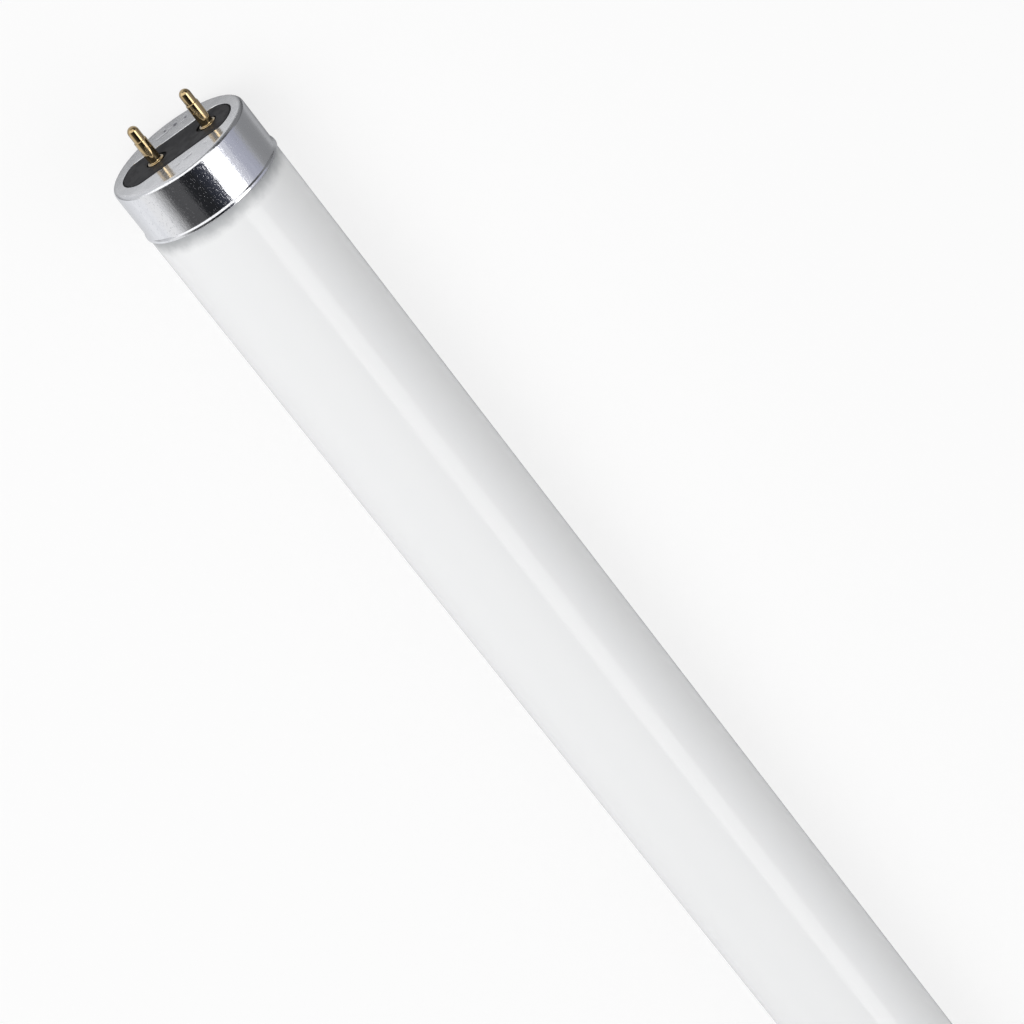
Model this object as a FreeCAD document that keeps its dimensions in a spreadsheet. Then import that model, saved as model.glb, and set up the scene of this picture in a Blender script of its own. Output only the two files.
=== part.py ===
import FreeCAD, Part
import os
from collections import namedtuple

import Sketcher

# Straight double-pin fluorescent lamp. The tube lies along X with the middle of the lamp at the origin, and
# each pair of contact pins stands in a line along Y. Every end piece is drawn in a frame of its own: x is 0
# on the outer face of the cap and grows into the lamp. End a lies at -X, and end b is end a turned half a
# turn about Z.

NODE_FOLDER = "parts"

# Driving sizes in millimetres: name, value and what it measures
SIZES = (
    ("face_to_face", 580.0, "outer face of one cap to outer face of the other"),
    ("glass_diameter", 31.75, "outside of the glass tube"),
    ("glass_wall", 0.9, "wall of the glass tube"),
    ("neck_step", 2.175, "how far the neck that the cap covers is drawn in from the tube's surface"),
    ("rim_depth", 4.2, "cap face to the rim of the glass"),
    ("rim_round", 0.4, "rounding of the fire-polished rim"),
    ("rim_width", 1.7, "width of the rim, from the mouth of the flared stem to the outside of the neck"),
    ("neck_length", 2.6, "rim of the glass to where the neck starts to widen"),
    ("shoulder_past_lip", 1.6, "end of the cap's lip to where the tube has its full diameter"),
    ("stem_bore", 11.0, "bore of the stem tube"),
    ("stem_wall", 1.0, "wall of the stem tube and its flare"),
    ("stem_depth", 26.0, "rim of the glass to the floor of the stem"),
    ("stem_floor", 2.0, "thickness of the stem's floor"),
    ("press_width", 12.0, "flattened press that holds the wires, across the wires"),
    ("press_thickness", 4.0, "flattened press, through its flat sides"),
    ("press_length", 9.0, "flattened press, along the lamp"),
    ("exhaust_diameter", 4.0, "outside of the sealed-off exhaust tube"),
    ("exhaust_bore", 2.0, "bore of the exhaust tube"),
    ("exhaust_length", 13.0, "floor of the stem to the tip of the exhaust tube"),
    ("exhaust_tip", 1.2, "glass at the tip of the exhaust tube"),
    ("cap_depth", 11.8, "face of the cap to the end of its lip"),
    ("cap_wall", 0.35, "sheet that the cap is drawn from"),
    ("cap_corner", 1.0, "outer radius between the cap's face and its wall"),
    ("lip_flare", 0.325, "how far the lip stands out from the cap's wall"),
    ("lip_length", 0.35, "straight part of the lip"),
    ("lip_rise", 0.75, "length in which the wall widens to the lip"),
    ("lip_round", 0.15, "rounding of the lip's edge"),
    ("slot_margin", 2.625, "end of the oblong hole in the cap's face to the outside of the cap"),
    ("slot_width", 13.0, "oblong hole, across the pins"),
    ("slot_bulge", 3.35, "how far the hole's curved ends reach past its straight sides"),
    ("slot_corner", 2.8, "radius where a long side meets a curved end"),
    ("slot_edge", 0.2, "rounding of the hole's outer edge"),
    ("plate_overlap", 1.2, "how far the plate reaches past the hole behind the face"),
    ("plate_thickness", 1.8, "plate behind the cap's face"),
    ("boss_clearance", 0.25, "gap between the plate's raised middle and the hole"),
    ("boss_edge", 0.28, "rounding of the raised middle, within its height"),
    ("recess_gap", 0.53, "how much further than the pin's collar its shallow recess reaches"),
    ("recess_depth", 0.3, "depth of that recess"),
    ("recess_offset", 0.25, "how far each recess sits from its pin, towards the other one"),
    ("pin_spacing", 12.7, "middle to middle of the two pins"),
    ("pin_shift", 1.2, "how far the pair of pins sits off the lamp's axis"),
    ("pin_reach", 8.6, "cap face to the top of a pin"),
    ("pin_step", 5.2, "cap face to the step of a pin"),
    ("step_slope", 0.12, "length of the step"),
    ("barrel_diameter", 2.8, "pin below its step, and where it passes the plate"),
    ("tip_step", 0.17, "how far the pin is drawn in above its step"),
    ("flange_width", 0.48, "how far the collar stands out from the pin, in its recess"),
    ("flange_thickness", 0.35, "thickness of that collar"),
    ("flange_round", 0.12, "rounding of the collar"),
    ("pin_wall", 0.5, "wall of the hollow pin below its step"),
    ("tip_wall", 0.9, "brass above the bore"),
    ("rivet_width", 0.51, "how far the turned-over end stands out from the pin, behind the plate"),
    ("rivet_thickness", 0.4, "thickness of the turned-over end"),
    ("pin_clearance", 0.02, "gap around the pin in the plate"),
    ("crimp_height", 2.7, "cap face to the middle of the crimp"),
    ("crimp_depth", 0.14, "depth of the crimp's dents"),
    ("crimp_radius", 1.8, "radius of the tool that made the dents"),
    ("crimp_turn", 60.0, "degrees from straight up to the dents, about the pin's own axis"),
    ("wire_diameter", 0.5, "lead-in wire"),
    ("wire_spacing", 7.4, "middle to middle of the wires where they leave the press"),
    ("wire_seal", 4.0, "how deep a wire is sealed in the glass"),
    ("wire_clearance", 0.01, "gap around the wire in the glass"),
    ("wire_straight", 0.5, "end of the pin to where its wire starts to bend aside"),
    ("wire_settled", 1.0, "where the wire has reached its line in the stem to the end of the flare"),
    ("cement_inset", 1.2, "rim of the glass to the front of the cement"),
    ("cement_gap", 0.03, "gap between the cement and what it bonds"),
)

# How far apart two lengths may be and still count as the same, in millimetres
SAME = 1e-4

# The most of a wall that a rounding on one of its edges may take
WALL_SHARE = 0.9


class Size:
    """A length, as the formula that the document keeps and as its present value."""

    def __init__(self, formula, value):
        self.formula = formula
        self.value = value

    def __add__(self, other):
        other = as_size(other)
        return Size(f"({self.formula} + {other.formula})", self.value + other.value)

    def __sub__(self, other):
        other = as_size(other)
        return Size(f"({self.formula} - {other.formula})", self.value - other.value)

    def __mul__(self, other):
        other = as_size(other)
        return Size(f"({self.formula} * {other.formula})", self.value * other.value)

    def __truediv__(self, other):
        other = as_size(other)
        return Size(f"({self.formula} / {other.formula})", self.value / other.value)

    def __neg__(self):
        return Size(f"(0 - {self.formula})", -self.value)


def as_size(number):
    """Give a plain number the form of a Size."""
    if isinstance(number, Size):
        return number
    return Size(repr(number), number)


def smaller(first, second):
    """Give the smaller of two sizes, for a rounding that its wall limits."""
    return Size(f"min({first.formula}; {second.formula})", min(first.value, second.value))


# A corner of an outline, and the radius of the side that leaves it where that side is an arc. A place of
# None lies on the axis of the sketch. The arc's centre lies above or below its chord.
Corner = namedtuple("Corner", "across up radius centre", defaults=(None, None))
ABOVE = 1
BELOW = -1

doc = FreeCAD.newDocument("fluorescent_tube")
sheet = doc.addObject("Spreadsheet::Sheet", "Sizes")
size = {}
for row, (name, value, meaning) in enumerate(SIZES, start=1):
    sheet.set(f"A{row}", name)
    sheet.set(f"B{row}", str(value))
    sheet.set(f"C{row}", meaning)
    sheet.setAlias(f"B{row}", name)
    size[name] = Size(f"Sizes.{name}", value)
doc.recompute()


# Sketches and features

def origin_plane(body, role):
    """Find one of the planes of the body's own origin."""
    for feature in body.Origin.OriginFeatures:
        if feature.Role == role:
            return feature
    raise LookupError(role)


def new_sketch(body, label, role, offset=None):
    """Start a sketch on an origin plane of the body, or at an offset from it."""
    sketch = body.newObject("Sketcher::SketchObject", label)
    sketch.AttachmentSupport = (origin_plane(body, role), "")
    sketch.MapMode = "FlatFace"
    if offset is not None:
        sketch.setExpression("AttachmentOffset.Base.z", offset.formula)
    return sketch


def constrain(sketch, constraint, length=None):
    """Add a constraint, and tie it to the sheet where it has a length."""
    number = sketch.addConstraint(constraint)
    if length is not None:
        sketch.setExpression(f"Constraints[{number}]", length.formula)


def fix_point(sketch, side, end, corner):
    """Tie one end of a side to its place."""
    for place, kind, axis in ((corner.across, "DistanceX", -2), (corner.up, "DistanceY", -1)):
        if place is None:
            constrain(sketch, Sketcher.Constraint("PointOnObject", side, end, axis))
        else:
            constrain(sketch, Sketcher.Constraint(kind, -1, 1, side, end, place.value), place)


def corner_point(corner):
    """Give the present place of a corner."""
    across = corner.across.value if corner.across is not None else 0.0
    up = corner.up.value if corner.up is not None else 0.0
    return FreeCAD.Vector(across, up, 0)


def draw_side(sketch, start, finish):
    """Draw the side between two corners, and return it with the numbers of its two ends."""
    here = corner_point(start)
    there = corner_point(finish)
    if start.radius is None:
        return sketch.addGeometry(Part.LineSegment(here, there), False), (1, 2)
    chord = there - here
    middle = (here + there) * 0.5
    away = FreeCAD.Vector(-chord.y, chord.x, 0).normalize()
    if away.y * start.centre < 0:
        away = away * -1
    rise = max(start.radius.value ** 2 - chord.Length ** 2 / 4, 0.0) ** 0.5
    centre = middle + away * rise
    circle = Part.Circle(centre, FreeCAD.Vector(0, 0, 1), start.radius.value)
    turns_left = (here - centre).cross(there - centre).z > 0
    first, second = (here, there) if turns_left else (there, here)
    arc = Part.ArcOfCircle(circle, circle.parameter(first), circle.parameter(second))
    side = sketch.addGeometry(arc, False)
    constrain(sketch, Sketcher.Constraint("Radius", side, start.radius.value), start.radius)
    return side, ((1, 2) if turns_left else (2, 1))


def draw_outline(sketch, corners, closed=True):
    """Draw the sides from corner to corner, join them and tie every corner to the sheet."""
    count = len(corners)
    sides = []
    for index in range(count if closed else count - 1):
        sides.append(draw_side(sketch, corners[index], corners[(index + 1) % count]))
    for index, (side, ends) in enumerate(sides):
        fix_point(sketch, side, ends[0], corners[index])
        if closed or index + 1 < len(sides):
            following, following_ends = sides[(index + 1) % len(sides)]
            constrain(sketch, Sketcher.Constraint("Coincident", side, ends[1], following, following_ends[0]))
        else:
            fix_point(sketch, side, ends[1], corners[index + 1])


def reversed_run(corners):
    """Give the same corners in the other order, with each arc on the side where it was."""
    before = [Corner(None, None)] + corners[:-1]
    turned_round = [
        corner._replace(radius=last.radius, centre=last.centre) for corner, last in zip(corners, before)
    ]
    return turned_round[::-1]


def draw_circle(sketch, centre, diameter):
    """Draw a circle, and tie its centre and its diameter to the sheet."""
    circle = Part.Circle(corner_point(centre), FreeCAD.Vector(0, 0, 1), diameter.value / 2)
    side = sketch.addGeometry(circle, False)
    constrain(sketch, Sketcher.Constraint("Diameter", side, diameter.value), diameter)
    fix_point(sketch, side, 3, centre)


def turned(body, label, kind, corners):
    """Turn an outline about the X axis, to add it (Revolution) or to take it away (Groove)."""
    sketch = new_sketch(body, f"{label}_outline", "XY_Plane")
    draw_outline(sketch, corners)
    feature = body.newObject(f"PartDesign::{kind}", label)
    feature.Profile = sketch
    feature.ReferenceAxis = (sketch, ["H_Axis"])
    feature.Angle = 360
    return feature


def extruded(body, label, kind, sketch, length, reverse=False):
    """Extrude a sketch along X, to add it (Pad) or to take it away (Pocket)."""
    feature = body.newObject(f"PartDesign::{kind}", label)
    feature.Profile = sketch
    feature.setExpression("Length", length.formula)
    feature.Reversed = reverse
    return feature


def round_edges(body, label, radius, wanted):
    """Round the edges of the body's last shape that the test picks."""
    doc.recompute()
    base = body.Tip
    names = [f"Edge{number}" for number, edge in enumerate(base.Shape.Edges, start=1) if wanted(edge)]
    if not names:
        raise LookupError(label)
    fillet = body.newObject("PartDesign::Fillet", label)
    fillet.Base = (base, names)
    fillet.setExpression("Radius", radius.formula)
    return fillet


def is_ring(edge, depth, radius):
    """Tell whether an edge is the circle about X at this depth and of this radius."""
    if edge.Degenerated or not isinstance(edge.Curve, Part.Circle):
        return False
    return abs(edge.Curve.Center.x - depth.value) < SAME and abs(edge.Curve.Radius - radius.value) < SAME


def lies_at(edge, depth):
    """Tell whether an edge lies in the plane across X at this depth."""
    box = edge.BoundBox
    return abs(box.XMin - depth.value) < SAME and abs(box.XMax - depth.value) < SAME


def new_body(label):
    """Start a sub-part of its own."""
    body = doc.addObject("PartDesign::Body", label)
    body.Label = label
    return body


def place_at_end(body, end, across=None, turn=0.0):
    """Move an end's piece to its end of the lamp, at a place across it, turned about its own axis."""
    half = size["face_to_face"] / 2
    about_x = FreeCAD.Rotation(FreeCAD.Vector(1, 0, 0), turn)
    about_z = FreeCAD.Rotation(FreeCAD.Vector(0, 0, 1), 0 if end == "a" else 180)
    body.Placement = FreeCAD.Placement(FreeCAD.Vector(0, 0, 0), about_z.multiply(about_x))
    body.setExpression("Placement.Base.x", (-half if end == "a" else half).formula)
    if across is not None:
        body.setExpression("Placement.Base.y", (across if end == "a" else -across).formula)


# Lengths that several pieces share

NOTHING = Size("0", 0)
GLASS_RADIUS = size["glass_diameter"] / 2
NECK_RADIUS = GLASS_RADIUS - size["neck_step"]
NECK_END = size["rim_depth"] + size["neck_length"]
MOUTH_RADIUS = NECK_RADIUS - size["rim_width"]
STEM_RADIUS = size["stem_bore"] / 2
FLOOR_DEPTH = size["rim_depth"] + size["stem_depth"]

# The wall of the cap is flush with the glass tube
CAP_RADIUS = GLASS_RADIUS
CAP_INSIDE = CAP_RADIUS - size["cap_wall"]
LIP_RADIUS = CAP_RADIUS + size["lip_flare"]
SLOT_REACH = CAP_RADIUS - size["slot_margin"]
SLOT_STRAIGHT = SLOT_REACH - size["slot_bulge"]
PLATE_BACK = size["cap_wall"] + size["plate_thickness"]
PIN_END = PLATE_BACK + size["rivet_thickness"]
BARREL_RADIUS = size["barrel_diameter"] / 2
BORE_RADIUS = BARREL_RADIUS - size["pin_wall"]
FLANGE_RADIUS = BARREL_RADIUS + size["flange_width"]
BORE_END = size["tip_wall"] - size["pin_reach"]


def bend_radius(run, rise):
    """Give the radius of two equal arcs that step a line aside and leave it parallel to itself."""
    return (run * run + rise * rise) / (rise * 4)


SHOULDER_END = size["cap_depth"] + size["shoulder_past_lip"]
SHOULDER_RUN = SHOULDER_END - NECK_END
SHOULDER_RADIUS = bend_radius(SHOULDER_RUN, size["neck_step"])
SHOULDER_MIDDLE = NECK_END + SHOULDER_RUN / 2


# Glass tube

def both_ends(half_outline):
    """Repeat an outline that starts at end a, mirrored, at end b."""
    half = size["face_to_face"] / 2
    end_a = [corner._replace(across=corner.across - half) for corner in half_outline]
    end_b = [corner._replace(across=half - corner.across) for corner in half_outline]
    return end_a + reversed_run(end_b)


def shoulder(inset):
    """Give the corners from the neck to the full tube, at a distance inside the outer surface."""
    across = SHOULDER_RUN / (SHOULDER_RADIUS * 2)
    along = as_size(1) - size["neck_step"] / (SHOULDER_RADIUS * 2)
    middle_depth = SHOULDER_MIDDLE + inset * across
    middle_radius = (GLASS_RADIUS + NECK_RADIUS) / 2 - inset * along
    return [
        Corner(NECK_END, NECK_RADIUS - inset, SHOULDER_RADIUS + inset, ABOVE),
        Corner(middle_depth, middle_radius, SHOULDER_RADIUS - inset, BELOW),
        Corner(SHOULDER_END, GLASS_RADIUS - inset),
    ]


def glass_outside():
    """Give the outer outline of one end, from the exhaust tube's tip along the stem to the full tube."""
    exhaust_radius = size["exhaust_diameter"] / 2
    exhaust_end = FLOOR_DEPTH - size["exhaust_length"]
    flare_radius = MOUTH_RADIUS - STEM_RADIUS
    return [
        Corner(exhaust_end, None, exhaust_radius, BELOW),
        Corner(exhaust_end + exhaust_radius, exhaust_radius),
        Corner(FLOOR_DEPTH, exhaust_radius),
        Corner(FLOOR_DEPTH, STEM_RADIUS),
        Corner(size["rim_depth"] + flare_radius, STEM_RADIUS, flare_radius, ABOVE),
        Corner(size["rim_depth"], MOUTH_RADIUS),
        Corner(size["rim_depth"], NECK_RADIUS),
    ] + shoulder(NOTHING)


def glass_inside():
    """Give the outline of the sealed space at one end, from the stem's floor round the stem to the wall."""
    stem_radius = STEM_RADIUS + size["stem_wall"]
    flare_radius = MOUTH_RADIUS - stem_radius
    rim_inside = size["rim_depth"] + size["stem_wall"]
    floor_inside = FLOOR_DEPTH + size["stem_floor"]
    return [
        Corner(floor_inside, None),
        Corner(floor_inside, stem_radius),
        Corner(rim_inside + flare_radius, stem_radius, flare_radius, ABOVE),
        Corner(rim_inside, MOUTH_RADIUS),
        Corner(rim_inside, NECK_RADIUS - size["glass_wall"]),
    ] + shoulder(size["glass_wall"])


def draw_press(sketch):
    """Draw the cross-section of the flattened press."""
    half_width = size["press_width"] / 2
    half_thickness = size["press_thickness"] / 2
    draw_outline(sketch, [
        Corner(-half_width, -half_thickness),
        Corner(half_width, -half_thickness),
        Corner(half_width, half_thickness),
        Corner(-half_width, half_thickness),
    ])


def make_glass_tube():
    """Make the sealed glass: tube, necks, flared stems, presses and exhaust tubes in one piece."""
    body = new_body("glass_tube")
    half = size["face_to_face"] / 2
    turned(body, "glass_envelope", "Revolution", both_ends(glass_outside()))
    turned(body, "sealed_space", "Groove", both_ends(glass_inside()))
    bore_radius = size["exhaust_bore"] / 2
    bore_start = FLOOR_DEPTH - size["exhaust_length"] + size["exhaust_tip"]
    press_end = FLOOR_DEPTH + size["stem_floor"] + size["press_length"]
    for end, side, at_b in (("a", -1, False), ("b", 1, True)):
        floor_place = (half - FLOOR_DEPTH - size["stem_floor"] / 2) * side
        sketch = new_sketch(body, f"press_{end}_outline", "YZ_Plane", floor_place)
        draw_press(sketch)
        press_reach = size["press_length"] + size["stem_floor"] / 2
        extruded(body, f"press_{end}", "Pad", sketch, press_reach, reverse=at_b)
        turned(body, f"exhaust_bore_{end}", "Groove", [
            Corner((half - bore_start) * side, None),
            Corner((half - bore_start) * side, bore_radius),
            Corner((half - press_end) * side, bore_radius),
            Corner((half - press_end) * side, None),
        ])
        seals = new_sketch(body, f"wire_seals_{end}_outline", "YZ_Plane", (half - FLOOR_DEPTH) * side)
        for across in (size["wire_spacing"] / 2, size["wire_spacing"] / -2):
            draw_circle(seals, Corner(across, None), size["wire_diameter"] + size["wire_clearance"] * 2)
        extruded(body, f"wire_seals_{end}", "Pocket", seals, size["wire_seal"], reverse=not at_b)
    rim_places = [(half - size["rim_depth"]) * side for side in (-1, 1)]
    round_edges(body, "rims_rounded", size["rim_round"], lambda edge: any(
        is_ring(edge, place, radius) for place in rim_places for radius in (NECK_RADIUS, MOUTH_RADIUS)
    ))
    return body


# Metal caps

def oblong(growth):
    """Give the outline of the oblong hole, grown by a margin all round."""
    half_width = size["slot_width"] / 2 + growth
    bulge = size["slot_bulge"] + growth
    end_radius = (half_width * half_width + bulge * bulge) / (bulge * 2)
    tip = SLOT_REACH + growth
    return [
        Corner(-SLOT_STRAIGHT, -half_width),
        Corner(SLOT_STRAIGHT, -half_width, end_radius, ABOVE),
        Corner(tip, None, end_radius, BELOW),
        Corner(SLOT_STRAIGHT, half_width),
        Corner(-SLOT_STRAIGHT, half_width, end_radius, BELOW),
        Corner(-tip, None, end_radius, ABOVE),
    ]


def is_oblong_corner(edge, growth):
    """Tell whether an edge runs along X where a long side of the oblong meets a curved end."""
    box = edge.BoundBox
    if box.YLength > SAME or box.ZLength > SAME:
        return False
    half_width = size["slot_width"].value / 2 + growth.value
    return abs(abs(box.YMin) - SLOT_STRAIGHT.value) < SAME and abs(abs(box.ZMin) - half_width) < SAME


def lip_bend(inset):
    """Give the corners where the wall widens to the lip, at a distance inside the outer surface."""
    lip_start = size["cap_depth"] - size["lip_length"]
    bend = bend_radius(size["lip_rise"], size["lip_flare"])
    across = size["lip_rise"] / (bend * 2)
    along = as_size(1) - size["lip_flare"] / (bend * 2)
    middle_depth = lip_start - size["lip_rise"] / 2 + inset * across
    middle_radius = (CAP_RADIUS + LIP_RADIUS) / 2 - inset * along
    return [
        Corner(lip_start - size["lip_rise"], CAP_RADIUS - inset, bend + inset, ABOVE),
        Corner(middle_depth, middle_radius, bend - inset, BELOW),
        Corner(lip_start, LIP_RADIUS - inset),
        Corner(size["cap_depth"], LIP_RADIUS - inset),
    ]


def make_end_cap(end):
    """Make the drawn metal cap, with the oblong hole in its face and a flared lip."""
    body = new_body(f"end_cap_{end}")
    inner_corner = size["cap_corner"] - size["cap_wall"]
    outline = [Corner(None, None), Corner(None, CAP_RADIUS)]
    outline += lip_bend(NOTHING)
    outline += reversed_run(lip_bend(size["cap_wall"]))
    outline += [Corner(size["cap_wall"], CAP_INSIDE), Corner(size["cap_wall"], None)]
    turned(body, f"shell_{end}", "Revolution", outline)
    slot = new_sketch(body, f"slot_{end}_outline", "YZ_Plane")
    draw_outline(slot, oblong(NOTHING))
    extruded(body, f"slot_{end}", "Pocket", slot, size["cap_wall"], reverse=True)
    round_edges(body, f"slot_corners_{end}", size["slot_corner"], lambda edge: (
        is_oblong_corner(edge, NOTHING)
    ))
    slot_edge = smaller(size["slot_edge"], size["cap_wall"] * WALL_SHARE)
    round_edges(body, f"slot_edge_{end}", slot_edge, lambda edge: (
        lies_at(edge, NOTHING) and not is_ring(edge, NOTHING, CAP_RADIUS)
    ))
    round_edges(body, f"outer_corner_{end}", size["cap_corner"], lambda edge: (
        is_ring(edge, NOTHING, CAP_RADIUS)
    ))
    round_edges(body, f"inner_corner_{end}", inner_corner, lambda edge: (
        is_ring(edge, size["cap_wall"], CAP_INSIDE)
    ))
    lip_round = smaller(size["lip_round"], size["cap_wall"] * WALL_SHARE / 2)
    round_edges(body, f"lip_rounded_{end}", lip_round, lambda edge: (
        is_ring(edge, size["cap_depth"], LIP_RADIUS)
        or is_ring(edge, size["cap_depth"], LIP_RADIUS - size["cap_wall"])
    ))
    place_at_end(body, end)
    return body


# Insulating plates

def pin_places():
    """Give the place across the lamp of each pin of an end."""
    middle = size["pin_shift"]
    return {"1": middle - size["pin_spacing"] / 2, "2": middle + size["pin_spacing"] / 2}


def make_insulator(end):
    """Make the moulded plate behind the cap's face, with a raised middle that fills the hole."""
    body = new_body(f"insulator_{end}")
    inner = -size["boss_clearance"]
    flange = new_sketch(body, f"plate_{end}_outline", "YZ_Plane", size["cap_wall"])
    draw_outline(flange, oblong(size["plate_overlap"]))
    extruded(body, f"plate_{end}", "Pad", flange, size["plate_thickness"])
    round_edges(body, f"plate_corners_{end}", size["slot_corner"] + size["plate_overlap"], lambda edge: (
        is_oblong_corner(edge, size["plate_overlap"])
    ))
    boss = new_sketch(body, f"boss_{end}_outline", "YZ_Plane")
    draw_outline(boss, oblong(inner))
    extruded(body, f"boss_{end}", "Pad", boss, PLATE_BACK)
    round_edges(body, f"boss_corners_{end}", size["slot_corner"] + inner, lambda edge: (
        is_oblong_corner(edge, inner)
    ))
    boss_edge = smaller(size["boss_edge"], size["cap_wall"] * WALL_SHARE)
    round_edges(body, f"boss_edge_{end}", boss_edge, lambda edge: lies_at(edge, NOTHING))
    recesses = new_sketch(body, f"recesses_{end}_outline", "YZ_Plane")
    holes = new_sketch(body, f"pin_holes_{end}_outline", "YZ_Plane")
    for across, inwards in zip(pin_places().values(), (size["recess_offset"], -size["recess_offset"])):
        draw_circle(recesses, Corner(across + inwards, None), (FLANGE_RADIUS + size["recess_gap"]) * 2)
        draw_circle(holes, Corner(across, None), size["barrel_diameter"] + size["pin_clearance"] * 2)
    extruded(body, f"recesses_{end}", "Pocket", recesses, size["recess_depth"], reverse=True)
    extruded(body, f"pin_holes_{end}", "Pocket", holes, PLATE_BACK, reverse=True)
    place_at_end(body, end)
    return body


# Contact pins

def make_pin(end, number, across):
    """Make a hollow brass pin, held by its collar in front of the plate and turned over behind it."""
    body = new_body(f"pin_{end}{number}")
    tip_radius = BARREL_RADIUS - size["tip_step"]
    rivet_radius = BARREL_RADIUS + size["rivet_width"]
    seat = size["recess_depth"]
    flange_top = seat - size["flange_thickness"]
    turned(body, f"pin_shape_{end}{number}", "Revolution", [
        Corner(-size["pin_reach"], None, tip_radius, BELOW),
        Corner(tip_radius - size["pin_reach"], tip_radius),
        Corner(-size["pin_step"] - size["step_slope"], tip_radius),
        Corner(-size["pin_step"], BARREL_RADIUS),
        Corner(flange_top, BARREL_RADIUS),
        Corner(flange_top, FLANGE_RADIUS),
        Corner(seat, FLANGE_RADIUS),
        Corner(seat, BARREL_RADIUS),
        Corner(PLATE_BACK, BARREL_RADIUS),
        Corner(PLATE_BACK, rivet_radius),
        Corner(PIN_END, rivet_radius),
        Corner(PIN_END, BORE_RADIUS),
        Corner(BORE_END, BORE_RADIUS),
        Corner(BORE_END, None),
    ])
    round_edges(body, f"collar_rounded_{end}{number}", size["flange_round"], lambda edge: (
        is_ring(edge, flange_top, FLANGE_RADIUS) or is_ring(edge, seat, FLANGE_RADIUS)
    ))
    tool_place = BARREL_RADIUS - size["crimp_depth"] + size["crimp_radius"]
    for dent, side in (("front", 1), ("back", -1)):
        sketch = new_sketch(body, f"crimp_{dent}_{end}{number}_outline", "XZ_Plane")
        draw_circle(sketch, Corner(-size["crimp_height"], tool_place * side), size["crimp_radius"] * 2)
        cut = extruded(body, f"crimp_{dent}_{end}{number}", "Pocket", sketch, size["barrel_diameter"] * 2)
        cut.Midplane = True
    place_at_end(body, end, across, size["crimp_turn"].value)
    return body


# Lead-in wires

def make_lead_wire(end, number, across):
    """Make the wire from the glass press through the stem into the hollow pin, to the end of its bore."""
    body = new_body(f"lead_wire_{end}{number}")
    stem_line = size["wire_spacing"] / 2
    if number == "1":
        stem_line = -stem_line
    bend_start = PIN_END + size["wire_straight"]
    flare_end = size["rim_depth"] + MOUTH_RADIUS - STEM_RADIUS
    bend_end = flare_end - size["wire_settled"]
    run = bend_end - bend_start
    rise = across - stem_line if number == "2" else stem_line - across
    bend = bend_radius(run, rise)
    middle = Corner((bend_start + bend_end) / 2, (across + stem_line) / 2)
    pin_side, stem_side = (BELOW, ABOVE) if number == "2" else (ABOVE, BELOW)
    path = new_sketch(body, f"wire_path_{end}{number}", "XY_Plane")
    draw_outline(path, [
        Corner(BORE_END, across),
        Corner(bend_start, across, bend, pin_side),
        middle._replace(radius=bend, centre=stem_side),
        Corner(bend_end, stem_line),
        Corner(FLOOR_DEPTH + size["wire_seal"], stem_line),
    ], closed=False)
    section = new_sketch(body, f"wire_section_{end}{number}", "YZ_Plane", BORE_END)
    draw_circle(section, Corner(across, None), size["wire_diameter"])
    wire = body.newObject("PartDesign::AdditivePipe", f"wire_{end}{number}")
    wire.Profile = section
    wire.Spine = path
    place_at_end(body, end)
    return body


# Basing cement

def make_cement(end):
    """Make the ring of cement between the neck of the glass and the cap."""
    body = new_body(f"cement_{end}")
    gap = size["cement_gap"]
    outer_radius = CAP_INSIDE - gap
    front = size["rim_depth"] + size["cement_inset"]
    neck_start, middle = shoulder(-gap)[:2]
    turned(body, f"cement_ring_{end}", "Revolution", [
        Corner(front, outer_radius),
        Corner(front, neck_start.up),
        neck_start,
        middle._replace(radius=None, centre=None),
        Corner(middle.across, outer_radius),
    ])
    place_at_end(body, end)
    return body


# The lamp

nodes = [make_glass_tube()]
for lamp_end in ("a", "b"):
    nodes.append(make_end_cap(lamp_end))
    nodes.append(make_insulator(lamp_end))
    nodes.append(make_cement(lamp_end))
    for pin_number, pin_place in pin_places().items():
        nodes.append(make_pin(lamp_end, pin_number, pin_place))
        nodes.append(make_lead_wire(lamp_end, pin_number, pin_place))
doc.recompute()

failed = [item.Name for item in doc.Objects if "Invalid" in item.State or "Error" in item.State]
if failed:
    raise RuntimeError(f"objects that failed: {failed}")
for node in nodes:
    if node.Shape.isNull() or not node.Shape.isValid() or len(node.Shape.Solids) != 1:
        raise RuntimeError(f"{node.Label} isn't one sound solid")

os.makedirs(NODE_FOLDER, exist_ok=True)
for node in nodes:
    node.Shape.exportStep(f"{NODE_FOLDER}/{node.Label}.step")
    print(f"{node.Label}: {node.Shape.Volume:.2f} cubic mm")
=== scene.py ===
"""A straight double-pin fluorescent lamp: drawn metal caps, black plates, brass pins and the opal tube."""

import logging
import math
from collections.abc import Callable
from dataclasses import dataclass
from enum import Enum

import bmesh
import bpy
from mathutils import Matrix, Vector


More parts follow.
